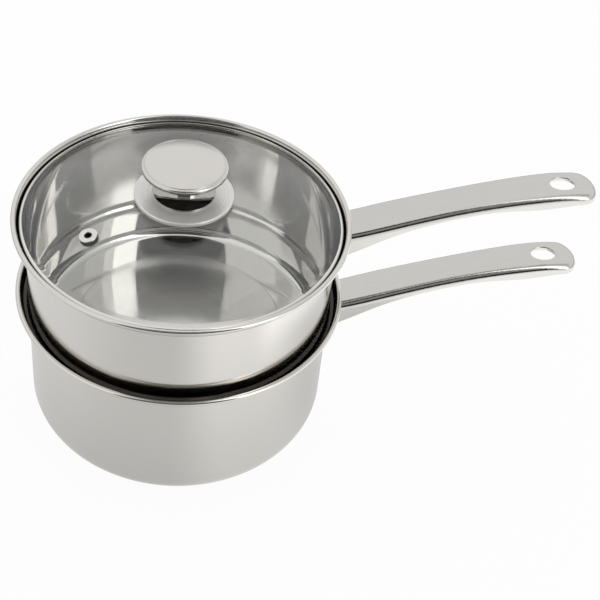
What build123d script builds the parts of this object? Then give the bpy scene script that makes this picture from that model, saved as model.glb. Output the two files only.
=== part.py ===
# Double boiler in stainless steel: a saucepan, a second pan that nests in its mouth,
# and a domed glass lid with a steel band and knob. Both pans have a pressed channel handle.
# Millimetres, +Z up. The origin is the centre of the underside of the saucepan's base,
# and both handles point along +X.
from build123d import *
from math import acos, asin, cos, degrees, radians, sin, sqrt
import os

os.makedirs("parts", exist_ok=True)

# Gap between bodies that rest on each other, fit round a pin, and overrun of every cut
seat_gap = 0.3
fit_gap = 0.05
cut_over = 4.0

# Pan sheet, and the mouth that both pans share: wall, outward bend, ledge, collar, rolled lip.
# Both leans are measured from upright.
pan_sheet = 0.6
wall_radius = 88.0
lip_reach = 7.2
lip_bead = 1.45
mouth_height = 9.2
mouth_bend = 2.5
ledge_lean = 75.0
ledge_bend = 0.8
collar_lean = 14.0

# Saucepan and its sandwich base
lower_rim = 94.6
lower_corner = 20.0
base_depth = 3.5
base_radius = 67.0
base_skin = 0.5
base_round = 1.5

# Nesting pan: shoulder that rests in the saucepan's mouth, and the narrower part below it
upper_wall_height = 58.7
step_in = 3.0
step_bend = 7.0
insert_height = 86.8
insert_corner = 6.0
floor_step = 0.5
floor_step_radius = 62.0

# Pressed channel handle, measured outwards from the pan's wall and down from its rim
lower_handle_drop = 17.4
upper_handle_drop = 16.0
handle_length = 160.0
handle_width = 26.6
handle_lift = 20.6
handle_root_depth = 17.0
handle_tip_depth = 3.6
handle_nose = 11.0
handle_sheet = 1.6
handle_bend = 4.0
hole_length = 15.5
hole_width = 11.5
hole_from_tip = 22.0
hole_round = 0.6
hole_collar = 1.2
collar_depth = 2.3

# Clip that is welded to the wall inside the root of each handle
bracket_sheet = 1.6
bracket_width = 16.0
bracket_length = 26.0
bracket_drop = 10.0

# Lid: glass disc with a flat edge, in a folded steel band with one butt seam
glass_sheet = 3.0
dome_rise = 16.1
dome_edge = 1.6
band_reach = 3.1
band_sheet = 0.4
band_leg = 0.1
seam_width = 0.5
seam_angle = 117.7

# Steam vent in the glass
vent_place = 58.6
vent_angle = -158.9
vent_bore = 4.2
vent_wall = 0.5
vent_flange_radius = 5.15
vent_lip = 0.8
vent_washer_radius = 5.0
vent_washer_sheet = 0.6
vent_clinch_radius = 3.9
vent_clinch = 0.6

# Knob on the lid and the screw that holds it
knob_gasket_radius = 14.0
knob_gasket_depth = 1.4
skirt_radius = 27.7
skirt_sheet = 0.8
skirt_turn = 1.2
stem_foot_radius = 17.6
stem_foot_edge = 1.0
stem_neck_radius = 8.5
stem_neck_length = 3.0
stem_sheet = 0.8
stem_flare = 5.0
cap_radius = 23.7
cap_rise = 4.3
cap_side = 2.2
cap_sheet = 0.8
cap_hem = 2.6
cap_round = 1.2
cap_groove = 0.35
cap_groove_inset = 1.6
bush_length = 13.0
screw_radius = 2.0
screw_reach = 9.0
screw_head_radius = 4.0
screw_head_depth = 2.4
screw_slot_width = 1.0
screw_slot_depth = 1.1
washer_radius = 7.0
washer_sheet = 1.0
under_gasket_radius = 10.0
under_gasket_depth = 1.2

# Worked out: the mouth. Its inner face leaves the wall on a bend, climbs the ledge to a
# corner and runs up the collar to touch the bead of the lip. Heights are from the bend's centre.
lean = radians(ledge_lean)
collar = radians(collar_lean)
corner_turn = lean - collar
wall_inside = wall_radius - pan_sheet
bead_place = wall_radius + lip_reach - lip_bead
ledge_foot_radius = wall_inside + mouth_bend * (1 - cos(lean))
ledge_foot = mouth_bend * sin(lean)
touch_radius = bead_place - lip_bead * cos(collar)
touch_height = mouth_height - lip_bead * (1 - sin(collar))
corner_out = touch_radius - ledge_foot_radius + ledge_bend * (cos(lean) - cos(collar))
corner_up = touch_height - ledge_foot + ledge_bend * (sin(collar) - sin(lean))
ledge_run = (corner_out * cos(collar) - corner_up * sin(collar)) / sin(corner_turn)
corner_radius = ledge_foot_radius + ledge_run * sin(lean) - ledge_bend * cos(lean)
corner_height = ledge_foot + ledge_run * cos(lean) + ledge_bend * sin(lean)

# Worked out: the nesting pan's shoulder rests on the outward bend of the saucepan's mouth
step_turn = acos(1 - step_in / (2 * step_bend - pan_sheet))
step_drop = (2 * step_bend - pan_sheet) * sin(step_turn)
nest_radius = wall_radius - step_in
seat_reach = mouth_bend + step_bend + seat_gap
seat_run = mouth_bend + step_bend - pan_sheet
shoulder = lower_rim - mouth_height + sqrt(seat_reach**2 - seat_run**2)
upper_rim = shoulder + upper_wall_height
insert_floor = upper_rim - insert_height

# Worked out: the round outside of the lid's band rests on the ledge of the nesting pan's mouth
band_round = glass_sheet / 2 + band_sheet
band_middle_radius = wall_radius + band_reach - band_round
band_clear = band_round + seat_gap
band_in = band_middle_radius - ledge_foot_radius
band_over_ledge = (band_clear + band_in * cos(lean)) / sin(lean)
band_middle = upper_rim - mouth_height + ledge_foot + band_over_ledge

# Worked out: the glass, whose two faces are spheres about one centre
glass_top = band_middle + glass_sheet / 2
glass_under = band_middle - glass_sheet / 2
dome_foot_radius = band_middle_radius - dome_edge
dome_ball = (dome_foot_radius**2 + dome_rise**2) / (2 * dome_rise)
crown = glass_top + dome_rise
crown_under = crown - glass_sheet
dome_centre = crown - dome_ball
inner_ball = dome_ball - glass_sheet
inner_foot_radius = sqrt(inner_ball**2 - (glass_under - dome_centre) ** 2)

# Worked out: the stack of the knob, up from the crown of the glass
bolt_hole = screw_radius + fit_gap
skirt_under = crown + knob_gasket_depth
skirt_top = skirt_under + skirt_sheet
stem_curve = stem_foot_radius - stem_neck_radius
stem_neck_foot = skirt_top + stem_foot_edge + stem_curve
stem_neck_top = stem_neck_foot + stem_neck_length
stem_top = stem_neck_top + stem_flare
stem_top_radius = cap_radius - cap_sheet
cap_under = stem_top - stem_sheet - cap_sheet
cap_edge = cap_under + cap_side
cap_ball = (cap_radius**2 + cap_rise**2) / (2 * cap_rise)
cap_centre = cap_edge + cap_rise - cap_ball
washer_top = crown_under - under_gasket_depth
head_top = washer_top - washer_sheet


def draw_mouth(rim):
    """Draw both faces of the mouth's sheet, from the top of the wall to the lip."""
    foot = rim - mouth_height
    for inset in (0, pan_sheet):
        bend = mouth_bend - inset
        bow = ledge_bend + inset
        reach = lip_bead - inset
        outward = CenterArc((wall_inside + mouth_bend, foot), bend, 180 - ledge_lean, ledge_lean)
        upward = CenterArc(
            (corner_radius, foot + corner_height), bow, -ledge_lean, ledge_lean - collar_lean
        )
        lip_end = (
            bead_place - reach * cos(collar),
            rim - lip_bead + reach * sin(collar),
        )
        Line(outward @ 0, upward @ 0)
        Line(upward @ 1, lip_end)
    Line((touch_radius, foot + touch_height), lip_end)


def draw_floor(under, radius, corner, floor):
    """Draw both faces of a pan's floor and round corner, from the axis to the wall.

    The points of the floor are given as a radius and a height above its underside.
    """
    middle = (radius - corner, under + corner)
    CenterArc(middle, corner, -90, 90)
    CenterArc(middle, corner - pan_sheet, -90, 90)
    for height in (under, under + pan_sheet):
        Polyline([(place, height + up) for place, up in floor] + [(middle[0], height)])
    centre_height = under + floor[0][1]
    Line((0, centre_height), (0, centre_height + pan_sheet))


def draw_wall(foot, top, radius):
    """Draw both faces of a straight stretch of wall."""
    Line((radius, foot), (radius, top))
    Line((radius - pan_sheet, foot), (radius - pan_sheet, top))


def save(piece, name):
    """Name a finished piece and write its file."""
    piece.part.label = name
    export_step(piece.part, f"parts/{name}.step")


# Saucepan body: one drawn shell with a deep round corner, flared mouth and rolled lip
with BuildPart() as lower_pan:
    with BuildSketch(Plane.XZ):
        with BuildLine():
            draw_floor(base_depth, wall_radius, lower_corner, [(0, 0)])
            draw_wall(base_depth + lower_corner, lower_rim - mouth_height, wall_radius)
            draw_mouth(lower_rim)
        make_face()
        with Locations((bead_place, lower_rim - lip_bead)):
            Circle(lip_bead)
    revolve(axis=Axis.Z)
save(lower_pan, "lower_pan")

# Aluminium disc that spreads the heat under the saucepan
with BuildPart() as base_core:
    with BuildSketch(Plane.XY.offset(base_skin)):
        Circle(base_radius - base_skin)
    extrude(amount=base_depth - base_skin)
    core_rim = base_core.edges().filter_by(GeomType.CIRCLE).sort_by(Axis.Z)[0]
    fillet(core_rim, base_round - base_skin)
save(base_core, "base_core")

# Steel cup that closes the aluminium disc in
with BuildPart() as base_cap:
    with BuildSketch():
        Circle(base_radius)
    extrude(amount=base_depth)
    cap_rim = base_cap.edges().filter_by(GeomType.CIRCLE).sort_by(Axis.Z)[0]
    fillet(cap_rim, base_round)
    add(base_core.part, mode=Mode.SUBTRACT)
save(base_cap, "base_cap")

# Nesting pan body: wide above the shoulder, narrower where it hangs inside the saucepan
with BuildPart() as insert_pan:
    with BuildSketch(Plane.XZ):
        with BuildLine():
            step_top = (floor_step_radius - floor_step, floor_step)
            insert_floor_points = [(0, floor_step), step_top, (floor_step_radius, 0)]
            draw_floor(insert_floor, nest_radius, insert_corner, insert_floor_points)
            draw_wall(insert_floor + insert_corner, shoulder - step_drop, nest_radius)
            shoulder_middle = (wall_radius - step_bend, shoulder)
            neck_middle = (nest_radius + step_bend - pan_sheet, shoulder - step_drop)
            turn = degrees(step_turn)
            for inset in (0, pan_sheet):
                CenterArc(shoulder_middle, step_bend - inset, -turn, turn)
                CenterArc(neck_middle, step_bend - pan_sheet + inset, 180 - turn, turn)
            draw_wall(shoulder, upper_rim - mouth_height, wall_radius)
            draw_mouth(upper_rim)
        make_face()
        with Locations((bead_place, upper_rim - lip_bead)):
            Circle(lip_bead)
    revolve(axis=Axis.Z)
save(insert_pan, "insert_pan")

# Handle from the side. Each row: share of the length, share of the lift for the top face,
# and share of the root's depth for the flange below it.
side_shares = [
    (0.1125, 0.165, 0.67),
    (0.1875, 0.294, 0.50),
    (0.275, 0.437, 0.385),
    (0.45, 0.689, 0.318),
    (0.6375, 0.891, 0.365),
    (0.775, 0.983, 0.47),
    (0.875, 1.0, 0.40),
]
# Handle from above. Each row: share of the length, share of the full width.
width_shares = [(0.15, 0.955), (0.40, 0.925), (0.62, 0.945), (0.76, 0.985)]
root_width_share = 0.93
tip_lift_share = 0.86
handle_start = wall_radius - cut_over
handle_end = wall_radius + handle_length
nose_place = handle_end - handle_nose


def handle_block(root, inset):
    """Build the deep solid below a handle's top face, or below a face set in from it."""
    low = root - handle_root_depth - 2 * cut_over
    tops = [(handle_start, root - inset)]
    for along, up, deep in side_shares:
        tops.append((wall_radius + along * handle_length, root + up * handle_lift - inset))
    tops.append((handle_end, root + tip_lift_share * handle_lift - inset))
    half = handle_width / 2 - inset
    near = [(handle_start, root_width_share * handle_width / 2 - inset)]
    for along, wide in width_shares:
        near.append((wall_radius + along * handle_length, wide * handle_width / 2 - inset))
    near.append((nose_place, half))
    far = [(x, -y) for x, y in near]
    with BuildPart() as block:
        with BuildSketch(Plane.XZ):
            with BuildLine():
                Spline(tops)
                Polyline(tops[-1], (handle_end, low), (handle_start, low), tops[0])
            make_face()
        extrude(amount=handle_width, both=True)
        with BuildSketch(Plane.XY.offset(low)):
            with BuildLine():
                Spline(near, tangents=[(1, 0), (1, 0)])
                Spline(far, tangents=[(1, 0), (1, 0)])
                EllipticalCenterArc((nose_place, 0), handle_nose - inset, half, -90, arc_size=180)
                Line(near[0], far[0])
            make_face()
        extrude(amount=root + handle_lift + cut_over - low, mode=Mode.INTERSECT)
        upward = block.faces().filter_by(lambda face: face.normal_at().Z > 0.5)
        rim_edges = upward.sort_by(SortBy.AREA)[-1].edges()
        fillet(rim_edges.filter_by(lambda edge: edge.center().X > wall_radius), handle_bend - inset)
    return block


def draw_hang_hole(grow):
    """Draw the oval of the hanging hole, or a larger one round it."""
    with Locations((handle_end - hole_from_tip, 0)):
        Ellipse(hole_length / 2 + grow, hole_width / 2 + grow)


def is_hole_edge(edge):
    """Tell whether an edge lies round the hanging hole."""
    middle = edge.center()
    along = abs(middle.X - handle_end + hole_from_tip)
    return along < hole_width / 2 and abs(middle.Y) < hole_width / 2 + hole_collar / 2


def channel_handle(root):
    """Build a pressed channel handle: open underneath, a collared hole, a fitted root."""
    outside = handle_block(root, 0)
    inside = handle_block(root, handle_sheet)
    low = root - handle_root_depth - 3 * cut_over
    high = root + handle_lift + cut_over
    unders = [(handle_start, root - handle_root_depth)]
    for along, up, deep in side_shares:
        under = root + up * handle_lift - deep * handle_root_depth
        unders.append((wall_radius + along * handle_length, under))
    unders.append((handle_end, root + tip_lift_share * handle_lift - handle_tip_depth))
    beyond = handle_end + cut_over
    with BuildPart() as hollow:
        add(inside.part)
        with BuildSketch(Plane.XY.offset(root + handle_lift - collar_depth)):
            draw_hang_hole(hole_collar)
        extrude(amount=collar_depth + cut_over, mode=Mode.SUBTRACT)
    with BuildPart() as handle:
        add(outside.part)
        with BuildSketch(Plane.XZ):
            with BuildLine():
                Spline(unders)
                Polyline(
                    unders[-1],
                    (beyond, unders[-1][1]),
                    (beyond, low),
                    (handle_start, low),
                    unders[0],
                )
            make_face()
        extrude(amount=handle_width, both=True, mode=Mode.SUBTRACT)
        add(hollow.part, mode=Mode.SUBTRACT)
        with BuildSketch(Plane.XY.offset(low)):
            draw_hang_hole(0)
            Circle(wall_radius)
        extrude(amount=high - low, mode=Mode.SUBTRACT)
        fillet(handle.edges().filter_by(is_hole_edge).group_by(Axis.Z)[-1], hole_round)
    return handle


def handle_clip(root):
    """Build the clip in a handle's root: a foot on the wall, a tongue under the top face."""
    around = handle_block(root, handle_sheet)
    beneath = around.part.moved(Location((0, 0, -bracket_sheet)))
    low = root - handle_root_depth - 3 * cut_over
    high = root + handle_lift + cut_over
    with BuildPart() as space:
        add(beneath)
        with BuildSketch(Plane.XY.offset(low)):
            Circle(wall_radius + bracket_sheet)
        extrude(amount=high - low, mode=Mode.SUBTRACT)
    with BuildPart() as clip:
        with BuildSketch(Plane.XY.offset(root - bracket_drop)):
            with Locations((wall_radius, 0)):
                Rectangle(2 * bracket_length, bracket_width)
        extrude(amount=bracket_drop + handle_lift)
        add(around.part, mode=Mode.INTERSECT)
        add(space.part, mode=Mode.SUBTRACT)
        with BuildSketch(Plane.XY.offset(low)):
            Circle(wall_radius)
        extrude(amount=high - low, mode=Mode.SUBTRACT)
    return clip


lower_root = lower_rim - lower_handle_drop
lower_handle = channel_handle(lower_root)
save(lower_handle, "lower_handle")
lower_clip = handle_clip(lower_root)
save(lower_clip, "lower_clip")
upper_root = upper_rim - upper_handle_drop
upper_handle = channel_handle(upper_root)
save(upper_handle, "upper_handle")
upper_clip = handle_clip(upper_root)
save(upper_clip, "upper_clip")

# Plane of the vent, square to the glass where the vent stands
vent_lean = asin(vent_place / dome_ball)
vent_turn = radians(vent_angle)
vent_out = (sin(vent_lean) * cos(vent_turn), sin(vent_lean) * sin(vent_turn), cos(vent_lean))
vent_point = (dome_ball * vent_out[0], dome_ball * vent_out[1], dome_centre + dome_ball * vent_out[2])
vent_tube_radius = vent_bore / 2 + vent_wall
vent_plane = Plane(vent_point, z_dir=vent_out)

# Domed glass disc with a flat ring at its edge, holes for the screw and the vent
with BuildPart() as lid_glass:
    with BuildSketch(Plane.XZ):
        with BuildLine():
            outer_sweep = degrees(asin(dome_foot_radius / dome_ball))
            inner_sweep = degrees(asin(inner_foot_radius / inner_ball))
            CenterArc((0, dome_centre), dome_ball, 90 - outer_sweep, outer_sweep)
            CenterArc((0, dome_centre), inner_ball, 90 - inner_sweep, inner_sweep)
            CenterArc((band_middle_radius, band_middle), glass_sheet / 2, -90, 180)
            Line((dome_foot_radius, glass_top), (band_middle_radius, glass_top))
            Line((inner_foot_radius, glass_under), (band_middle_radius, glass_under))
            Line((0, crown_under), (0, crown))
        make_face()
    revolve(axis=Axis.Z)
    with BuildSketch(Plane.XY.offset(crown_under - cut_over)):
        Circle(bolt_hole)
    extrude(amount=glass_sheet + 2 * cut_over, mode=Mode.SUBTRACT)
    with BuildSketch(vent_plane):
        Circle(vent_tube_radius + fit_gap)
    extrude(amount=glass_sheet + cut_over, both=True, mode=Mode.SUBTRACT)
save(lid_glass, "lid_glass")

# Steel band folded round the edge of the glass, with a gap where its two ends meet
with BuildPart() as lid_band:
    with BuildSketch(Plane.XZ):
        with BuildLine():
            leg_foot = band_middle_radius - band_leg
            for radius in (band_round, glass_sheet / 2):
                CenterArc((band_middle_radius, band_middle), radius, -90, 180)
                for height in (band_middle + radius, band_middle - radius):
                    Line((leg_foot, height), (band_middle_radius, height))
            Line((leg_foot, glass_top), (leg_foot, glass_top + band_sheet))
            Line((leg_foot, glass_under), (leg_foot, glass_under - band_sheet))
        make_face()
    revolve(axis=Axis.Z)
    with BuildSketch(Plane.XY.rotated((0, 0, seam_angle)).offset(band_middle - 2 * band_round)):
        with Locations((band_middle_radius, 0)):
            Rectangle(4 * band_round, seam_width)
    extrude(amount=4 * band_round, mode=Mode.SUBTRACT)
save(lid_band, "lid_band")

# Grommet of the vent: a tube with a wide lip above the glass
with BuildPart() as vent_eyelet:
    with BuildSketch(vent_plane):
        Circle(vent_flange_radius)
    extrude(amount=vent_lip)
    lip_edge = vent_eyelet.edges().filter_by(GeomType.CIRCLE).sort_by(Axis.Z)[-1]
    fillet(lip_edge, vent_lip - vent_wall)
    tube_length = glass_sheet + 2 * vent_washer_sheet + vent_clinch
    with BuildSketch(vent_plane):
        Circle(vent_tube_radius)
    extrude(amount=-tube_length)
    with BuildSketch(vent_plane.offset(-tube_length)):
        Circle(vent_clinch_radius)
    extrude(amount=vent_clinch)
    with BuildSketch(vent_plane):
        Circle(vent_bore / 2)
    extrude(amount=tube_length + cut_over, both=True, mode=Mode.SUBTRACT)
save(vent_eyelet, "vent_eyelet")

# Soft washer between the glass and the turned-out foot of the grommet
with BuildPart() as vent_washer:
    with BuildSketch(vent_plane.offset(vent_clinch - tube_length)):
        Circle(vent_washer_radius)
        Circle(vent_tube_radius + fit_gap, mode=Mode.SUBTRACT)
    extrude(amount=vent_washer_sheet)
save(vent_washer, "vent_washer")

# Soft ring between the glass and the skirt, hollowed underneath to lie on the dome
with BuildPart() as knob_gasket:
    with BuildSketch(Plane.XZ):
        with BuildLine():
            ring_sweep = degrees(asin(knob_gasket_radius / dome_ball))
            hole_sweep = degrees(asin(bolt_hole / dome_ball))
            arc = CenterArc((0, dome_centre), dome_ball, 90 - ring_sweep, ring_sweep - hole_sweep)
            Polyline(
                arc @ 0,
                (knob_gasket_radius, skirt_under),
                (bolt_hole, skirt_under),
                arc @ 1,
            )
        make_face()
    revolve(axis=Axis.Z)
save(knob_gasket, "knob_gasket")

# Steel disc under the knob with a turned-down edge
with BuildPart() as knob_skirt:
    with BuildSketch(Plane.XY.offset(skirt_under - skirt_turn)):
        Circle(skirt_radius)
    extrude(amount=skirt_turn + skirt_sheet)
    with BuildSketch(Plane.XY.offset(skirt_under - skirt_turn)):
        Circle(skirt_radius - skirt_sheet)
    extrude(amount=skirt_turn, mode=Mode.SUBTRACT)
    skirt_rim = knob_skirt.edges().filter_by(GeomType.CIRCLE).group_by(Axis.Z)[-1]
    fillet(skirt_rim, skirt_sheet)
    with BuildSketch(Plane.XY.offset(skirt_under - cut_over)):
        Circle(bolt_hole)
    extrude(amount=skirt_sheet + 2 * cut_over, mode=Mode.SUBTRACT)
save(knob_skirt, "knob_skirt")

# Hollow waisted stem: a trumpet of sheet that flares to a flat flange at the top
with BuildPart() as knob_stem:
    with BuildSketch(Plane.XZ):
        with BuildLine():
            foot_middle = (stem_foot_radius, stem_neck_foot)
            inner_curve = stem_curve + stem_sheet
            foot_turn = degrees(asin(stem_sheet / inner_curve))
            neck_inside = stem_neck_radius - stem_sheet
            flange_radius = stem_top_radius - cap_hem
            flare_middle = (flange_radius, stem_neck_top)
            flare_reach = flange_radius - stem_neck_radius
            outer_foot = CenterArc(foot_middle, stem_curve, 180, 90)
            inner_foot = CenterArc(foot_middle, inner_curve, 180, 90 - foot_turn)
            EllipticalCenterArc(flare_middle, flare_reach, stem_flare - stem_sheet, 90, arc_size=90)
            EllipticalCenterArc(flare_middle, flare_reach + stem_sheet, stem_flare, 90, arc_size=90)
            Line(outer_foot @ 0, (stem_neck_radius, stem_neck_top))
            Line(inner_foot @ 0, (neck_inside, stem_neck_top))
            Polyline(
                outer_foot @ 1,
                (stem_foot_radius, skirt_top),
                (stem_foot_radius - stem_sheet, skirt_top),
                inner_foot @ 1,
            )
            Polyline(
                (flange_radius, stem_top - stem_sheet),
                (stem_top_radius, stem_top - stem_sheet),
                (stem_top_radius, stem_top),
                (flange_radius, stem_top),
            )
        make_face()
    revolve(axis=Axis.Z)
save(knob_stem, "knob_stem")

# Shallow domed cap, its hem turned in under the flange of the stem
with BuildPart() as knob_cap:
    with BuildSketch(Plane.XZ):
        with BuildLine():
            cap_sweep = degrees(asin(cap_radius / cap_ball))
            dome = CenterArc((0, cap_centre), cap_ball, 90 - cap_sweep, cap_sweep)
            Polyline(dome @ 0, (cap_radius, cap_under), (0, cap_under), dome @ 1)
        make_face()
    revolve(axis=Axis.Z)
    rounds = knob_cap.edges().filter_by(lambda edge: edge.is_closed)
    fillet(rounds.sort_by(Axis.Z)[-1], cap_round)
    with BuildSketch(Plane.XZ):
        with BuildLine():
            hollow_ball = cap_ball - cap_sheet
            hollow_sweep = degrees(asin(stem_top_radius / hollow_ball))
            hollow = CenterArc((0, cap_centre), hollow_ball, 90 - hollow_sweep, hollow_sweep)
            hem_top = cap_under + cap_sheet
            hem_reach = stem_top_radius - cap_hem
            Polyline(
                hollow @ 0,
                (stem_top_radius, hem_top),
                (hem_reach, hem_top),
                (hem_reach, cap_under),
                (0, cap_under),
                hollow @ 1,
            )
        make_face()
    revolve(axis=Axis.Z, mode=Mode.SUBTRACT)
    groove_radius = cap_radius - cap_groove_inset
    groove_height = cap_centre + sqrt(cap_ball**2 - groove_radius**2)
    with BuildSketch(Plane.XZ):
        with Locations((groove_radius, groove_height)):
            Circle(cap_groove)
    revolve(axis=Axis.Z, mode=Mode.SUBTRACT)
save(knob_cap, "knob_cap")

# Threaded bush in the neck of the stem
with BuildPart() as knob_bush:
    with BuildSketch(Plane.XY.offset(skirt_top)):
        Circle(neck_inside)
        Circle(bolt_hole, mode=Mode.SUBTRACT)
    extrude(amount=bush_length)
save(knob_bush, "knob_bush")

# Soft ring under the glass, domed on top to fill the hollow of the dome
with BuildPart() as under_gasket:
    with BuildSketch(Plane.XZ):
        with BuildLine():
            ring_sweep = degrees(asin(under_gasket_radius / inner_ball))
            hole_sweep = degrees(asin(bolt_hole / inner_ball))
            arc = CenterArc((0, dome_centre), inner_ball, 90 - ring_sweep, ring_sweep - hole_sweep)
            Polyline(
                arc @ 0,
                (under_gasket_radius, washer_top),
                (bolt_hole, washer_top),
                arc @ 1,
            )
        make_face()
    revolve(axis=Axis.Z)
save(under_gasket, "under_gasket")

# Steel washer under the screw's head
with BuildPart() as screw_washer:
    with BuildSketch(Plane.XY.offset(head_top)):
        Circle(washer_radius)
        Circle(bolt_hole, mode=Mode.SUBTRACT)
    extrude(amount=washer_sheet)
save(screw_washer, "screw_washer")

# Slotted screw that holds the knob, from below the glass up into the bush
with BuildPart() as knob_screw:
    with BuildSketch(Plane.XY.offset(head_top)):
        Circle(screw_radius)
    extrude(amount=skirt_top + screw_reach - head_top)
    with BuildSketch(Plane.XY.offset(head_top - screw_head_depth)):
        Circle(screw_head_radius)
    extrude(amount=screw_head_depth)
    head_rim = knob_screw.edges().filter_by(GeomType.CIRCLE).sort_by(Axis.Z)[0]
    fillet(head_rim, screw_slot_depth)
    with BuildSketch(Plane.XY.offset(head_top - screw_head_depth)):
        Rectangle(2 * screw_head_radius, screw_slot_width)
    extrude(amount=screw_slot_depth, mode=Mode.SUBTRACT)
save(knob_screw, "knob_screw")
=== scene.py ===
import bpy
import bmesh
from math import acos, asin, cos, degrees, pi, radians, sin, sqrt, tan
from mathutils import Matrix, Vector


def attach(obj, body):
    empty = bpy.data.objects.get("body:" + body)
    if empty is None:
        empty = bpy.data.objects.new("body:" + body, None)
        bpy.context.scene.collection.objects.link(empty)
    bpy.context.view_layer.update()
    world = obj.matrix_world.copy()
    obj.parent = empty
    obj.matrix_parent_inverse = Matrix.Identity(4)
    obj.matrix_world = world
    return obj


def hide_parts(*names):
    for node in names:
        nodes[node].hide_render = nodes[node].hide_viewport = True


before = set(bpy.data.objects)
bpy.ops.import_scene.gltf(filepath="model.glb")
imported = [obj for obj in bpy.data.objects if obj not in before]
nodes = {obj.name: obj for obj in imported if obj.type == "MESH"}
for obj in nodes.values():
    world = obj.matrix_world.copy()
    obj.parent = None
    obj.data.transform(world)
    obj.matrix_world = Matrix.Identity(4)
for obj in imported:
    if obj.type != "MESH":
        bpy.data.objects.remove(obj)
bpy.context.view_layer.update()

# Camera
# Looks down on the pans from their side, with a slight tilt, so that both handles point to
# the upper right.
camera_turn = radians(-16.4)
camera_height = 0.7488
camera_tilt = -0.1205
camera_target = Vector((0.06783, -0.01996, 0.09313))
camera_reach = 0.8
focal_pixels = 1361.4
picture_pixels = 600
sensor_width = 36
ahead = Vector((
    -sin(camera_turn) * cos(camera_height),
    cos(camera_turn) * cos(camera_height),
    -sin(camera_height),
))
level_right = Vector((cos(camera_turn), sin(camera_turn), 0))
level_up = level_right.cross(ahead)
right = level_right * cos(camera_tilt) - level_up * sin(camera_tilt)
upright = level_right * sin(camera_tilt) + level_up * cos(camera_tilt)
eye = camera_target - ahead * camera_reach
camera_data = bpy.data.cameras.new("camera")
camera_data.lens = focal_pixels / picture_pixels * sensor_width
camera_data.sensor_width = sensor_width
camera_data.clip_start = 0.01
camera_data.clip_end = 50
camera = bpy.data.objects.new("camera", camera_data)
camera.matrix_world = Matrix((
    (right.x, upright.x, -ahead.x, eye.x),
    (right.y, upright.y, -ahead.y, eye.y),
    (right.z, upright.z, -ahead.z, eye.z),
    (0, 0, 0, 1),
))
bpy.context.scene.collection.objects.link(camera)
bpy.context.scene.camera = camera
bpy.context.scene.view_settings.view_transform = "Standard"

# Studio
# A white sweep and a white tent all round. The tent is open in front, where the photographer
# stands, and has panels on both sides of the opening, the brightest of them to its right.


class Wiring:
    """Makes and joins the nodes of one material, world or geometry tree."""

    def __init__(self, tree):
        self.tree = tree

    def add(self, kind, **values):
        node = self.tree.nodes.new(kind)
        for key, value in values.items():
            setattr(node, key, value)
        return node

    def put(self, source, target):
        if isinstance(source, (int, float, tuple)):
            target.default_value = source
        else:
            self.tree.links.new(source, target)

    def maths(self, operation, first, second=None, clamp=False):
        node = self.add("ShaderNodeMath", operation=operation, use_clamp=clamp)
        self.put(first, node.inputs[0])
        if second is not None:
            self.put(second, node.inputs[1])
        return node.outputs[0]

    def dot(self, way, fixed):
        node = self.add("ShaderNodeVectorMath", operation="DOT_PRODUCT")
        self.put(way, node.inputs[0])
        node.inputs[1].default_value = fixed
        return node.outputs["Value"]

    def mix(self, share, first, second):
        node = self.add("ShaderNodeMix", data_type="RGBA")
        self.put(share, node.inputs[0])
        for place, value in ((6, first), (7, second)):
            self.put((*value, 1) if isinstance(value, tuple) else value, node.inputs[place])
        return node.outputs[2]

    def span(self, value, low, high, low_out=0.0, high_out=1.0):
        node = self.add("ShaderNodeMapRange", interpolation_type="SMOOTHSTEP")
        self.put(value, node.inputs["Value"])
        ends = (("From Min", low), ("From Max", high), ("To Min", low_out), ("To Max", high_out))
        for key, number in ends:
            node.inputs[key].default_value = number
        return node.outputs[0]

    def between(self, value, low, high, soft):
        return self.maths("MULTIPLY", self.span(value, low, low + soft),
                          self.span(value, high - soft, high, 1.0, 0.0))


facing = Vector((-ahead.x, -ahead.y, 0)).normalized()
world = bpy.data.worlds.new("tent")
bpy.context.scene.world = world
world.use_nodes = True
world.node_tree.nodes.clear()
tent = Wiring(world.node_tree)
way = tent.add("ShaderNodeTexCoord").outputs["Generated"]
rise = tent.dot(way, (0, 0, 1))
turn = tent.maths("ARCTAN2", tent.dot(way, level_right), tent.dot(way, facing))
low_ring = tent.span(rise, 0.02, 0.30, 1.0, 0.0)
tent_light = tent.mix(low_ring, (0.92, 0.92, 0.92), (0.45, 0.45, 0.45))
# Each panel: its two sides as turns to the right of the photographer, its foot and its
# top as heights, all in degrees, then its light
panels = (
    (-82, -31, 1, 87, 0.97),
    (-104, -81, 38, 87, 0.72),
    (66, 76, 1, 87, 1.20),
    (75, 96, 1, 87, 0.80),
    (95, 142, 38, 80, 0.62),
    (44.5, 67, 1, 87, 2.15),
    (-31, 45.5, 1, 84, 0.02),
    (-30, 44.5, 30, 62, 0.29),
)
side_blur = radians(1.5)
end_blur = 0.02
for left_edge, right_edge, foot, top, light in panels:
    wide = tent.between(turn, radians(left_edge), radians(right_edge), side_blur)
    tall = tent.between(rise, sin(radians(foot)), sin(radians(top)), end_blur)
    tent_light = tent.mix(tent.maths("MULTIPLY", wide, tall), tent_light, (light,) * 3)
rays = tent.add("ShaderNodeLightPath")
tent_light = tent.mix(rays.outputs["Is Camera Ray"], tent_light, (1.0, 1.0, 1.0))
background = tent.add("ShaderNodeBackground")
tent.put(tent_light, background.inputs["Color"])
background.inputs["Strength"].default_value = 1.0
tent.put(background.outputs[0], tent.add("ShaderNodeOutputWorld").inputs["Surface"])

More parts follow.
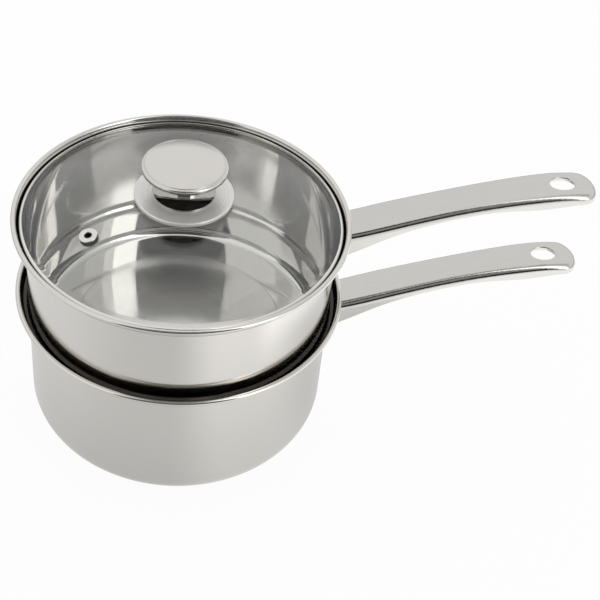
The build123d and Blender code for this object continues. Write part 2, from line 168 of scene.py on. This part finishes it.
floor_reach = 3.0
floor_mesh = bpy.data.meshes.new("floor")
floor_corners = [(-floor_reach, -floor_reach, 0), (floor_reach, -floor_reach, 0),
                 (floor_reach, floor_reach, 0), (-floor_reach, floor_reach, 0)]
floor_mesh.from_pydata(floor_corners, [], [(0, 1, 2, 3)])
floor = bpy.data.objects.new("floor", floor_mesh)
bpy.context.scene.collection.objects.link(floor)
paper = bpy.data.materials.new("white_sweep")
paper.use_nodes = True
paper.node_tree.nodes.clear()
sweep = Wiring(paper.node_tree)
lit = sweep.add("ShaderNodeBsdfDiffuse")
lit.inputs["Color"].default_value = (0.95, 0.95, 0.95, 1)
glow = sweep.add("ShaderNodeEmission")
ground = sweep.add("ShaderNodeTexCoord").outputs["Object"]
paths = sweep.add("ShaderNodeLightPath")
# In reflections the paper's glow is painted uneven, as painted light and shade: brightest to the
# photographer's right and under the handles, less so to the left, dimmer in front, and a little
# dimmer close to the pans as a painted shadow
round_pan = sweep.maths("ARCTAN2", sweep.dot(ground, level_right), sweep.dot(ground, facing))
from_pan = sweep.add("ShaderNodeVectorMath", operation="LENGTH")
sweep.put(ground, from_pan.inputs[0])
from_pan = from_pan.outputs["Value"]
far_out = sweep.span(from_pan, 0.17, 0.21)
near_end = sweep.span(round_pan, radians(58), radians(100), 1.0, 0.2)
right_side = sweep.maths("MULTIPLY", sweep.span(round_pan, radians(2), radians(33)),
                         sweep.maths("MAXIMUM", far_out, near_end))
handle_side = sweep.span(round_pan, radians(50), radians(68), 0.0, 0.32)
under_handles = sweep.maths("MULTIPLY", far_out, handle_side)
left_side = sweep.span(round_pan, radians(-70), radians(-10), 1.0, 0.0)
beside = sweep.maths("ADD", sweep.maths("MULTIPLY", right_side, 0.36),
                     sweep.maths("MULTIPLY", left_side, 0.15))
beside = sweep.maths("MULTIPLY", beside, sweep.span(from_pan, 0.12, 0.22, 0.50, 1.0))
beside = sweep.maths("ADD", beside, under_handles)
# Painted shadow: the glow seen in reflections drops close to the pans
painted_shadow_near_pans = sweep.span(from_pan, 0.09, 0.15, 0.90, 1.0)
painted_floor_light = sweep.maths("MULTIPLY", sweep.maths("ADD", beside, 0.69), painted_shadow_near_pans)
shown = sweep.mix(paths.outputs["Is Glossy Ray"], (1.0, 1.0, 1.0), painted_floor_light)
sweep.put(shown, glow.inputs["Color"])
glow.inputs["Strength"].default_value = 1.0
seen = sweep.maths("ADD", paths.outputs["Is Camera Ray"], paths.outputs["Is Glossy Ray"])
seen = sweep.maths("ADD", seen, paths.outputs["Is Transmission Ray"], clamp=True)
paper_glow = 0.95
seen = sweep.maths("MULTIPLY", seen, paper_glow)
blend = sweep.add("ShaderNodeMixShader")
sweep.put(seen, blend.inputs[0])
sweep.put(lit.outputs[0], blend.inputs[1])
sweep.put(glow.outputs[0], blend.inputs[2])
sweep.put(blend.outputs[0], sweep.add("ShaderNodeOutputMaterial").inputs["Surface"])
floor_mesh.materials.append(paper)

# Saucepan
# One pan drawn from 0.6 mm stainless sheet, its mouth turned out to a narrow ledge and its
# lip rolled into a bead. Polished to a mirror inside and finely turned outside. The ledge, up to
# part of the collar above it, is painted near black as painted shade for the gap where a pan or the
# lid nests.
sheet = 0.0006
wall = 0.088
bead = 0.00145
bead_place = 0.09375
mouth_height = 0.0092
mouth_bend = 0.0025
ledge_lean = 75
ledge_bend = 0.0008
collar_lean = 14
# How far up the collar the painted shade reaches, and over how much of it the shade fades out
painted_shade_share = 0.62
painted_shade_fade_share = 0.02
panel_radius = 0.062
saucepan_rim = 0.0946
saucepan_floor = 0.0035
saucepan_corner = 0.020
spin_steps = 288

lean = radians(ledge_lean)
collar = radians(collar_lean)
ledge_foot_radius = wall - sheet + mouth_bend * (1 - cos(lean))
ledge_foot = mouth_bend * sin(lean)
touch_radius = bead_place - bead * cos(collar)
touch_height = mouth_height - bead * (1 - sin(collar))
corner_out = touch_radius - ledge_foot_radius + ledge_bend * (cos(lean) - cos(collar))
corner_up = touch_height - ledge_foot + ledge_bend * (sin(collar) - sin(lean))
ledge_run = (corner_out * cos(collar) - corner_up * sin(collar)) / sin(lean - collar)
corner_radius = ledge_foot_radius + ledge_run * sin(lean) - ledge_bend * cos(lean)
corner_height = ledge_foot + ledge_run * cos(lean) + ledge_bend * sin(lean)


def arc(middle, radius, first, last, steps):
    """Points along an arc, with its angles in degrees."""
    turns = [radians(first + (last - first) * step / steps) for step in range(steps + 1)]
    return [(middle[0] + radius * cos(turn), middle[1] + radius * sin(turn)) for turn in turns]


def eased(corners, radius, closed=False, steps=4):
    """A line with its corners rounded, as a tool leaves them."""
    ends = [corners[-1], *corners, corners[0]] if closed else corners
    line = [] if closed else [tuple(corners[0])]
    for before, corner, after in zip(ends, ends[1:], ends[2:]):
        corner = Vector(corner)
        back = Vector(before) - corner
        onward = Vector(after) - corner
        longest = 0.45 * min(back.length, onward.length)
        cut = min(radius / tan(back.angle(onward) / 2), longest)
        start = corner + back.normalized() * cut
        end = corner + onward.normalized() * cut
        for step in range(steps + 1):
            share = step / steps
            point = start * (1 - share) ** 2 + corner * 2 * share * (1 - share) + end * share ** 2
            line.append(tuple(point))
    return line if closed else line + [tuple(corners[-1])]


def mouth(rim):
    """A pan's mouth: the seat on its inner face, which takes the painted shade, then round the bead
    and down the outer face.
    """
    bend_at = (wall - sheet + mouth_bend, rim - mouth_height)
    corner_at = (corner_radius, rim - mouth_height + corner_height)
    touch = 180 - collar_lean
    wrap = degrees(acos((bead - sheet) / bead))
    seat_in_painted_shade = (
        arc(bend_at, mouth_bend, 180, 180 - ledge_lean, 12)
        + arc(corner_at, ledge_bend, -ledge_lean, -collar_lean, 8)
    )
    rolled = arc((bead_place, rim - bead), bead, touch, touch + wrap - 360, 30)
    collar_foot = Vector(seat_in_painted_shade[-1])
    collar_top = Vector(rolled[0])
    # The painted shade runs up this share of the collar
    seat_in_painted_shade.append(tuple(collar_foot.lerp(collar_top, painted_shade_share)))
    outer = (
        [tuple(collar_foot.lerp(collar_top, painted_shade_share + painted_shade_fade_share))]
        + rolled
        + arc(corner_at, ledge_bend + sheet, -collar_lean, -ledge_lean, 8)
        + arc(bend_at, mouth_bend - sheet, 180 - ledge_lean, 180, 12)
    )
    return [("seat_in_painted_shade", seat_in_painted_shade), ("outside", outer)]


def spinning():
    """Geometry Nodes that spin an outline into a shell, all the way round or with a seam."""
    tree = bpy.data.node_groups.new("spinning", "GeometryNodeTree")
    sockets = (
        ("Outline", "NodeSocketGeometry"),
        ("Steps", "NodeSocketInt"),
        ("Path radius", "NodeSocketFloat"),
        ("Start", "NodeSocketFloat"),
        ("Sweep", "NodeSocketFloat"),
        ("Outside", "NodeSocketMaterial"),
        ("Inside", "NodeSocketMaterial"),
        ("Seat in painted shade", "NodeSocketMaterial"),
    )
    for label, kind in sockets:
        tree.interface.new_socket(label, in_out="INPUT", socket_type=kind)
    tree.interface.new_socket("Shell", in_out="OUTPUT", socket_type="NodeSocketGeometry")
    wires = Wiring(tree)
    given = wires.add("NodeGroupInput").outputs
    line = wires.add("GeometryNodeMeshToCurve")
    wires.put(given["Outline"], line.inputs["Mesh"])
    place = wires.add("ShaderNodeSeparateXYZ")
    wires.put(wires.add("GeometryNodeInputPosition").outputs[0], place.inputs[0])
    stand = wires.add("ShaderNodeCombineXYZ")
    reach = wires.maths("SUBTRACT", place.outputs["X"], given["Path radius"])
    wires.put(reach, stand.inputs["X"])
    wires.put(wires.maths("MULTIPLY", place.outputs["Z"], -1.0), stand.inputs["Y"])
    section = wires.add("GeometryNodeSetPosition")
    wires.put(line.outputs[0], section.inputs["Geometry"])
    wires.put(stand.outputs[0], section.inputs["Position"])
    ring = wires.add("GeometryNodeCurvePrimitiveCircle", mode="RADIUS")
    wires.put(given["Steps"], ring.inputs["Resolution"])
    wires.put(given["Path radius"], ring.inputs["Radius"])
    bow = wires.add("GeometryNodeCurveArc", mode="RADIUS")
    wires.put(given["Steps"], bow.inputs["Resolution"])
    wires.put(given["Path radius"], bow.inputs["Radius"])
    wires.put(given["Start"], bow.inputs["Start Angle"])
    wires.put(given["Sweep"], bow.inputs["Sweep Angle"])
    has_seam = wires.add("FunctionNodeCompare", data_type="FLOAT", operation="LESS_THAN")
    wires.put(given["Sweep"], has_seam.inputs["A"])
    has_seam.inputs["B"].default_value = 2 * pi - 0.0001
    path = wires.add("GeometryNodeSwitch", input_type="GEOMETRY")
    wires.put(has_seam.outputs[0], path.inputs["Switch"])
    wires.put(ring.outputs["Curve"], path.inputs["False"])
    wires.put(bow.outputs["Curve"], path.inputs["True"])
    swept = wires.add("GeometryNodeCurveToMesh")
    wires.put(path.outputs[0], swept.inputs["Curve"])
    wires.put(section.outputs[0], swept.inputs["Profile Curve"])
    wires.put(has_seam.outputs[0], swept.inputs["Fill Caps"])
    closed = wires.add("GeometryNodeMergeByDistance")
    wires.put(swept.outputs[0], closed.inputs["Geometry"])
    closed.inputs["Distance"].default_value = 1e-6
    real = wires.add("GeometryNodeRealizeInstances")
    wires.put(closed.outputs[0], real.inputs[0])
    mark = wires.add("GeometryNodeInputNamedAttribute", data_type="FLOAT")
    mark.inputs["Name"].default_value = "face"
    shell = real.outputs[0]
    for label, least in (("Outside", -0.5), ("Inside", 0.5), ("Seat in painted shade", 1.5)):
        covers = wires.add("FunctionNodeCompare", data_type="FLOAT", operation="GREATER_THAN")
        wires.put(mark.outputs["Attribute"], covers.inputs["A"])
        covers.inputs["B"].default_value = least
        finish = wires.add("GeometryNodeSetMaterial")
        wires.put(shell, finish.inputs["Geometry"])
        wires.put(covers.outputs[0], finish.inputs["Selection"])
        wires.put(given[label], finish.inputs["Material"])
        shell = finish.outputs[0]
    wires.put(shell, wires.add("NodeGroupOutput").inputs[0])
    return tree


def baked(piece, tree, values):
    """Run a tree on an object, keep its result as a plain mesh, and take the tree off."""
    modifier = piece.modifiers.new("made", "NODES")
    modifier.node_group = tree
    for item in tree.interface.items_tree:
        if item.in_out == "INPUT" and item.name in values:
            modifier[item.identifier] = values[item.name]
    graph = bpy.context.evaluated_depsgraph_get()
    mesh = bpy.data.meshes.new_from_object(piece.evaluated_get(graph), depsgraph=graph)
    piece.modifiers.clear()
    old, piece.data = piece.data, mesh
    bpy.data.meshes.remove(old)
    mesh.name = piece.name
    shape = bmesh.new()
    shape.from_mesh(mesh)
    bmesh.ops.recalc_face_normals(shape, faces=shape.faces)
    shape.to_mesh(mesh)
    shape.free()
    mesh.shade_smooth()
    mesh.set_sharp_from_angle(angle=radians(32))
    return piece


def spun(name, finishes, faces, seam=(0.0, 0.0), closed=False):
    """Spin a section, given as its outer, inner and seat faces in the order they join."""
    points = [point for face, line in faces for point in line]
    marks = [face for face, line in faces for point in line]
    mesh = bpy.data.meshes.new(name)
    count = len(points)
    edges = [(step, step + 1) for step in range(count - 1)]
    if closed:
        edges.append((count - 1, 0))
    mesh.from_pydata([(radius, 0, height) for radius, height in points], edges, [])
    mark = mesh.attributes.new("face", "FLOAT", "POINT")
    mark.data.foreach_set("value", [("outside", "inside", "seat_in_painted_shade").index(face) for face in marks])
    piece = bpy.data.objects.new(name, mesh)
    bpy.context.scene.collection.objects.link(piece)
    seam_at, seam_turn = seam
    outside, inside, seat_in_painted_shade = (*finishes, finishes[-1], finishes[-1])[:3]
    piece = baked(piece, spin_tree, {
        "Steps": spin_steps,
        "Path radius": sum(radius for radius, height in points) / count,
        "Start": seam_at + seam_turn / 2,
        "Sweep": 2 * pi - seam_turn,
        "Outside": outside,
        "Inside": inside,
        "Seat in painted shade": seat_in_painted_shade,
    })
    piece.data.attributes.remove(piece.data.attributes["face"])
    return piece


def steel(name, colour, rough, grain="turned", streak=0.03, relief=0.02, pitch=0.0006, metal=1.0,
          panel=None):
    """Stainless steel with a fine grain, turned round the axis or drawn lengthwise.

    A panel is the radius of a disc round the axis, and how many times rougher it is. A satin
    finish scatters part of the light, and so is less than wholly metal.
    """
    finish = bpy.data.materials.new(name)
    finish.use_nodes = True
    finish.node_tree.nodes.clear()
    wires = Wiring(finish.node_tree)
    place = wires.add("ShaderNodeTexCoord").outputs["Object"]
    parts = wires.add("ShaderNodeSeparateXYZ")
    wires.put(place, parts.inputs[0])
    lines = wires.add("ShaderNodeCombineXYZ")
    if grain == "turned":
        flat = wires.add("ShaderNodeCombineXYZ")
        wires.put(parts.outputs["X"], flat.inputs["X"])
        wires.put(parts.outputs["Y"], flat.inputs["Y"])
        across = wires.add("ShaderNodeVectorMath", operation="LENGTH")
        wires.put(flat.outputs[0], across.inputs[0])
        wires.put(wires.maths("DIVIDE", across.outputs["Value"], pitch), lines.inputs["X"])
        wires.put(wires.maths("DIVIDE", parts.outputs["Z"], pitch), lines.inputs["Z"])
        wires.put(wires.maths("MULTIPLY", parts.outputs["X"], 14.0), lines.inputs["Y"])
    else:
        wires.put(wires.maths("MULTIPLY", parts.outputs["X"], 22.0), lines.inputs["X"])
        wires.put(wires.maths("DIVIDE", parts.outputs["Y"], pitch), lines.inputs["Y"])
        wires.put(wires.maths("DIVIDE", parts.outputs["Z"], 5 * pitch), lines.inputs["Z"])
    fine = wires.add("ShaderNodeTexNoise")
    fine.inputs["Scale"].default_value = 1.0
    fine.inputs["Detail"].default_value = 4.0
    wires.put(lines.outputs[0], fine.inputs["Vector"])
    haze = wires.add("ShaderNodeTexNoise")
    haze.inputs["Scale"].default_value = 26.0
    haze.inputs["Detail"].default_value = 3.0
    wires.put(place, haze.inputs["Vector"])
    darker = tuple(part * (1 - streak) for part in colour)
    lighter = tuple(min(1.0, part * (1 + streak)) for part in colour)
    body = wires.add("ShaderNodeBsdfPrincipled")
    body.inputs["Metallic"].default_value = metal
    wires.put(wires.mix(wires.span(fine.outputs["Fac"], 0.3, 0.7), darker, lighter),
              body.inputs["Base Color"])
    worn = wires.maths("ADD", wires.span(fine.outputs["Fac"], 0.3, 0.7, rough * 0.88, rough * 1.12),
                       wires.span(haze.outputs["Fac"], 0.35, 0.7, -0.12 * rough, 0.2 * rough))
    if panel:
        panel_edge, rougher = panel
        blur = 0.001
        middle = wires.span(across.outputs["Value"], panel_edge - blur, panel_edge, rougher, 1.0)
        worn = wires.maths("MULTIPLY", worn, middle)
    wires.put(worn, body.inputs["Roughness"])
    bump = wires.add("ShaderNodeBump")
    bump.inputs["Strength"].default_value = relief
    bump.inputs["Distance"].default_value = 0.00005
    wires.put(fine.outputs["Fac"], bump.inputs["Height"])
    wires.put(bump.outputs[0], body.inputs["Normal"])
    wires.put(body.outputs[0], wires.add("ShaderNodeOutputMaterial").inputs["Surface"])
    return finish


def dress(name, finish):
    """Give a piece of the frame its finish."""
    nodes[name].data.materials.clear()
    nodes[name].data.materials.append(finish)


spin_tree = spinning()
steel_colour = (0.72, 0.70, 0.665)
mirror_steel = steel("mirror_steel", (0.72, 0.708, 0.685), 0.055, streak=0.015, relief=0.0015,
                     panel=(panel_radius, 3.2))
turned_steel = steel("turned_steel", steel_colour, 0.12, streak=0.006, relief=0.003)
# Painted shade: near-black steel on the ledge and lower collar, in place of the shade in the gap
# where the pans and the lid nest
seat_painted_shade = steel("seat_painted_shade", (0.075, 0.072, 0.066), 0.16, streak=0.05, relief=0.01)
pan_finishes = (turned_steel, mirror_steel, seat_painted_shade)
corner_at = (wall - saucepan_corner, saucepan_floor + saucepan_corner)
saucepan = spun("saucepan_shell", pan_finishes, [
    ("inside", [(0, saucepan_floor + sheet)] + arc(corner_at, saucepan_corner - sheet, -90, 0, 24)),
    *mouth(saucepan_rim),
    ("outside", arc(corner_at, saucepan_corner, 0, -90, 24) + [(0, saucepan_floor)]),
])
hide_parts("lower_pan")
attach(saucepan, "saucepan")

# Saucepan base
# An aluminium disc that spreads the heat, closed in by a pressed steel cup whose underside
# keeps the rings of the lathe. Only the cup's rim and underside show.
cup_steel = steel("cup_turned", (0.66, 0.65, 0.63), 0.24, streak=0.07, relief=0.08, pitch=0.0011)
disc_aluminium = steel("disc_turned", (0.80, 0.80, 0.81), 0.38, streak=0.05, relief=0.05)
dress("base_cap", cup_steel)
dress("base_core", disc_aluminium)

# Nesting pan
# The same sheet and the same mouth, with a shoulder rolled in below it that rests on the
# saucepan's mouth, and a narrower wall that hangs into the steam.
step_bend = 0.007
step_in = 0.003
seat_gap = 0.0003
step_turn = acos(1 - step_in / (2 * step_bend - sheet))
step_drop = (2 * step_bend - sheet) * sin(step_turn)
seat_reach = mouth_bend + step_bend + seat_gap
seat_run = mouth_bend + step_bend - sheet
shoulder = saucepan_rim - mouth_height + sqrt(seat_reach ** 2 - seat_run ** 2)
nesting_stand = 0.0587
nesting_depth = 0.0868
nesting_rim = shoulder + nesting_stand
nesting_floor = nesting_rim - nesting_depth
nesting_wall = wall - step_in
nesting_corner = 0.006
panel_rise = 0.0005
panel_ease = 0.0006

shoulder_at = (wall - step_bend, shoulder)
neck_at = (nesting_wall + step_bend - sheet, shoulder - step_drop)
corner_at = (nesting_wall - nesting_corner, nesting_floor + nesting_corner)
turn_down = degrees(step_turn)


def panelled(height):
    """The floor's face from the axis to its corner, with a raised panel in the middle."""
    corners = [
        (0, height + panel_rise),
        (panel_radius - panel_rise, height + panel_rise),
        (panel_radius, height),
        (corner_at[0], height),
    ]
    return eased(corners, panel_ease)


nesting_pan = spun("nesting_shell", pan_finishes, [
    ("inside", panelled(nesting_floor + sheet)
     + arc(corner_at, nesting_corner - sheet, -90, 0, 16)[1:]
     + arc(neck_at, step_bend, 180, 180 - turn_down, 10)
     + arc(shoulder_at, step_bend - sheet, -turn_down, 0, 10)),
    *mouth(nesting_rim),
    ("outside", arc(shoulder_at, step_bend, 0, -turn_down, 10)
     + arc(neck_at, step_bend - sheet, 180 - turn_down, 180, 10)
     + arc(corner_at, nesting_corner, 0, -90, 16)[:-1]
     + panelled(nesting_floor)[::-1]),
])
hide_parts("insert_pan")
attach(nesting_pan, "nesting_pan")

# Handles
# Each is one length of sheet, pressed into a channel with a crowned top and a hanging hole,
# and polished along its length. A thick steel clip inside its root is welded to the wall.
handle_steel = steel("handle_polish", (0.62, 0.608, 0.58), 0.15, grain="drawn", streak=0.02,
                     relief=0.006)
clip_steel = steel("clip_mill", (0.50, 0.49, 0.47), 0.34, grain="drawn", streak=0.10, relief=0.10)
for name in ("lower_handle", "upper_handle"):
    dress(name, handle_steel)
for name in ("lower_clip", "upper_clip"):
    dress(name, clip_steel)

# Lid glass
# A shallow dome of 3 mm tempered glass with a narrow flat margin and a rounded edge. The
# screw of the knob and the tube of the vent each pass through a drilled hole.
glass_sheet = 0.003
dome_rise = 0.0161
band_sheet = 0.0004
band_round = glass_sheet / 2 + band_sheet
band_overhang = 0.0031
band_middle_radius = wall + band_overhang - band_round
band_in = band_middle_radius - ledge_foot_radius
band_over_ledge = (band_round + seat_gap + band_in * cos(lean)) / sin(lean)
band_middle = nesting_rim - mouth_height + ledge_foot + band_over_ledge
glass_top = band_middle + glass_sheet / 2
glass_under = band_middle - glass_sheet / 2
band_lap = 0.0016
dome_foot_radius = band_middle_radius - band_lap
dome_ball = (dome_foot_radius ** 2 + dome_rise ** 2) / (2 * dome_rise)
crown = glass_top + dome_rise
dome_centre = crown - dome_ball
inner_ball = dome_ball - glass_sheet
inner_foot_radius = sqrt(inner_ball ** 2 - (glass_under - dome_centre) ** 2)
bolt_hole = 0.00205
vent_tube = 0.0026
vent_place = 0.0586
vent_lean = asin(vent_place / dome_ball)
vent_turn = radians(-158.9)
vent_out = Vector((sin(vent_lean) * cos(vent_turn), sin(vent_lean) * sin(vent_turn), cos(vent_lean)))
vent_point = Vector((0, 0, dome_centre)) + vent_out * dome_ball
vent_frame = Matrix.Translation(vent_point) @ vent_out.to_track_quat("Z", "X").to_matrix().to_4x4()

clear_glass = bpy.data.materials.new("clear_glass")
clear_glass.use_nodes = True
clear_glass.node_tree.nodes.clear()
wires = Wiring(clear_glass.node_tree)
pane = wires.add("ShaderNodeBsdfPrincipled")
smear = wires.add("ShaderNodeTexNoise")
smear.inputs["Scale"].default_value = 30.0
smear.inputs["Detail"].default_value = 3.0
wires.put(wires.add("ShaderNodeTexCoord").outputs["Object"], smear.inputs["Vector"])
wires.put(wires.span(smear.outputs["Fac"], 0.45, 0.75, 0.0, 0.012), pane.inputs["Roughness"])
greener = (0.965, 0.98, 0.972)
clearer = (0.985, 0.992, 0.988)
wires.put(wires.mix(wires.span(smear.outputs["Fac"], 0.3, 0.7), greener, clearer),
          pane.inputs["Base Color"])
pane.inputs["IOR"].default_value = 1.5
pane.inputs["Transmission Weight"].default_value = 1.0
wires.put(pane.outputs[0], wires.add("ShaderNodeOutputMaterial").inputs["Surface"])

outer_low = degrees(acos(dome_foot_radius / dome_ball))
outer_high = degrees(acos(bolt_hole / dome_ball))
inner_low = degrees(acos(inner_foot_radius / inner_ball))
inner_high = degrees(acos(bolt_hole / inner_ball))
glass_disc = spun("glass_disc", [clear_glass], [
    ("outside", arc((0, dome_centre), dome_ball, outer_high, outer_low, 48)
     + arc((band_middle_radius, band_middle), glass_sheet / 2, 90, -90, 12)
     + arc((0, dome_centre), inner_ball, inner_low, inner_high, 48)),
], closed=True)
drill_mesh = bpy.data.meshes.new("drill")
drill_shape = bmesh.new()
bmesh.ops.create_cone(drill_shape, cap_ends=True, segments=48, radius1=vent_tube, radius2=vent_tube,
                      depth=4 * glass_sheet, matrix=vent_frame)
drill_shape.to_mesh(drill_mesh)
drill_shape.free()
drill = bpy.data.objects.new("drill", drill_mesh)
bpy.context.scene.collection.objects.link(drill)
cut = glass_disc.modifiers.new("vent_hole", "BOOLEAN")
cut.operation = "DIFFERENCE"
cut.object = drill
graph = bpy.context.evaluated_depsgraph_get()
drilled = bpy.data.meshes.new_from_object(glass_disc.evaluated_get(graph), depsgraph=graph)
glass_disc.modifiers.clear()
glass_disc.data = drilled
bpy.data.objects.remove(drill)
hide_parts("lid_glass")
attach(glass_disc, "lid")

# Lid band
# A strip of bright steel folded round the edge of the glass. Its two ends meet in a
# narrow seam at the back left.
seam_width = 0.0005
seam_angle = radians(117.7)
band_leg = 0.0001
band_steel = steel("band_polish", (0.76, 0.745, 0.715), 0.07, streak=0.02, relief=0.01)
band_at = (band_middle_radius, band_middle)
band_back = band_middle_radius - band_leg
lid_band = spun("edge_band", [band_steel], [
    ("outside", [(band_back, band_middle - band_round)]
     + arc(band_at, band_round, -90, 90, 20)
     + [(band_back, band_middle + band_round), (band_back, glass_top)]
     + arc(band_at, glass_sheet / 2, 90, -90, 16)
     + [(band_back, glass_under)]),
], seam=(seam_angle, seam_width / band_middle_radius), closed=True)
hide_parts("lid_band")
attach(lid_band, "lid")

# Vent
# A steel grommet clinched through the glass, with a rounded lip above, a turned-out foot
# below and a bore painted near black as painted shade, and a soft washer under the glass.
vent_steel = steel("vent_polish", (0.74, 0.73, 0.71), 0.08, streak=0.03)
# Painted shade: the bore is near black, in place of the shade inside the hole
bore_painted_shade = steel("bore_shade", (0.05, 0.05, 0.05), 0.45, streak=0.08)
vent_bore = 0.0021
vent_flange = 0.00515
vent_lip = 0.0008
vent_foot = 0.0039
vent_clinch = 0.0006
vent_washer_sheet = 0.0006
vent_side_gap = 0.00005
vent_lip_gap = 0.00002
vent_ease = 0.0009
vent_length = glass_sheet + 2 * vent_washer_sheet + vent_clinch
grommet = spun("vent_grommet", [vent_steel, bore_painted_shade], [
    ("inside", [(vent_bore, height) for height in (0.0, vent_clinch - vent_length)]),
    ("outside", eased([
        (vent_bore, -vent_length),
        (vent_foot, -vent_length),
        (vent_foot, vent_clinch - vent_length),
        (vent_tube - vent_side_gap, vent_clinch - vent_length),
        (vent_tube - vent_side_gap, vent_lip_gap),
        (vent_flange, vent_lip_gap),
        (vent_flange, vent_lip),
        (vent_bore, vent_lip),
        (vent_bore, 0.0),
    ], vent_ease)),
])
grommet.data.transform(vent_frame)
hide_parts("vent_eyelet")
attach(grommet, "lid")


def rubber(name, colour):
    """Black silicone with a faint bloom and a fine moulded skin."""
    finish = bpy.data.materials.new(name)
    finish.use_nodes = True
    finish.node_tree.nodes.clear()
    wires = Wiring(finish.node_tree)
    place = wires.add("ShaderNodeTexCoord").outputs["Object"]
    skin = wires.add("ShaderNodeTexNoise")
    skin.inputs["Scale"].default_value = 900.0
    skin.inputs["Detail"].default_value = 3.0
    bloom = wires.add("ShaderNodeTexNoise")
    bloom.inputs["Scale"].default_value = 120.0
    wires.put(place, skin.inputs["Vector"])
    wires.put(place, bloom.inputs["Vector"])
    body = wires.add("ShaderNodeBsdfPrincipled")
    paler = tuple(part * 1.8 + 0.01 for part in colour)
    wires.put(wires.mix(wires.span(bloom.outputs["Fac"], 0.4, 0.7), colour, paler),
              body.inputs["Base Color"])
    wires.put(wires.span(skin.outputs["Fac"], 0.3, 0.7, 0.5, 0.68), body.inputs["Roughness"])
    bump = wires.add("ShaderNodeBump")
    bump.inputs["Strength"].default_value = 0.2
    bump.inputs["Distance"].default_value = 0.00005
    wires.put(skin.outputs["Fac"], bump.inputs["Height"])
    wires.put(bump.outputs[0], body.inputs["Normal"])
    wires.put(body.outputs[0], wires.add("ShaderNodeOutputMaterial").inputs["Surface"])
    return finish


gasket_rubber = rubber("black_silicone", (0.018, 0.018, 0.018))
for name in ("vent_washer", "knob_gasket", "under_gasket"):
    dress(name, gasket_rubber)

# Knob
# A satin disc on the glass, a mirror-polished stem drawn to a waist and painted near black
# under its flare as painted shade, and a low domed cap with a pressed groove near its rim. A screw
# from below holds all three and the lid.
skirt_steel = steel("skirt_satin", (0.90, 0.885, 0.85), 0.34, streak=0.0, relief=0.0,
                    pitch=0.0001, metal=0.4)
stem_steel = steel("stem_mirror", (0.44, 0.43, 0.405), 0.03, streak=0.01, relief=0.004)
# Painted shade: near-black steel under the stem's flare, in place of the shade beneath the cap
flare_painted_shade = steel("flare_shade", (0.05, 0.048, 0.045), 0.30, streak=0.05)
cap_steel = steel("cap_polish", (0.70, 0.68, 0.65), 0.18, streak=0.015, relief=0.004, pitch=0.0002)
bush_aluminium = steel("bush_turned", (0.78, 0.78, 0.79), 0.36, streak=0.08, relief=0.06)
screw_steel = steel("screw_plain", (0.60, 0.60, 0.59), 0.22, streak=0.06, relief=0.04)
dress("knob_skirt", skirt_steel)
knob_gasket_depth = 0.0014
skirt_sheet = 0.0008
skirt_top = crown + knob_gasket_depth + skirt_sheet
stem_foot_radius = 0.0176
stem_foot_edge = 0.0010
stem_foot_round = 0.0003
foot_round_turn = 4
stem_neck_radius = 0.0085
stem_neck_length = 0.0030
stem_sheet = 0.0008
stem_flare = 0.0050
stem_flange_radius = 0.0203
stem_top_radius = 0.0229
stem_curve = stem_foot_radius - stem_neck_radius
neck_foot = skirt_top + stem_foot_edge + stem_curve
neck_top = neck_foot + stem_neck_length
stem_top = neck_top + stem_flare
cove_at = (stem_foot_radius, neck_foot)
foot_round_at = (stem_foot_radius - stem_foot_round, skirt_top + stem_foot_edge - stem_foot_round)
back_curve = stem_curve + stem_sheet


def flare(reach, rise, steps=16):
    """The trumpet's quarter ellipse, from the neck up to the flange."""
    turns = [pi / 2 * step / steps for step in range(steps + 1)]
    return [(stem_flange_radius - reach * cos(turn), neck_top + rise * sin(turn)) for turn in turns]


flare_reach = stem_flange_radius - stem_neck_radius
stem = spun("knob_trumpet", [stem_steel, flare_painted_shade], [
    ("outside", [(stem_foot_radius - stem_sheet, skirt_top), (stem_foot_radius, skirt_top)]
     + arc(foot_round_at, stem_foot_round, 0, 90, 5)
     + arc(cove_at, stem_curve, 270 - foot_round_turn, 180, 28)),
    ("inside", flare(flare_reach, stem_flare - stem_sheet)
     + [(stem_top_radius, stem_top - stem_sheet), (stem_top_radius, stem_top)]
     + flare(flare_reach + stem_sheet, stem_flare)[::-1]
     + arc(cove_at, back_curve, 180, 270 - degrees(asin(stem_sheet / back_curve)), 16)),
], closed=True)
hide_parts("knob_stem")
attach(stem, "lid")
dress("knob_cap", cap_steel)
dress("knob_bush", bush_aluminium)
dress("knob_screw", screw_steel)
dress("screw_washer", screw_steel)
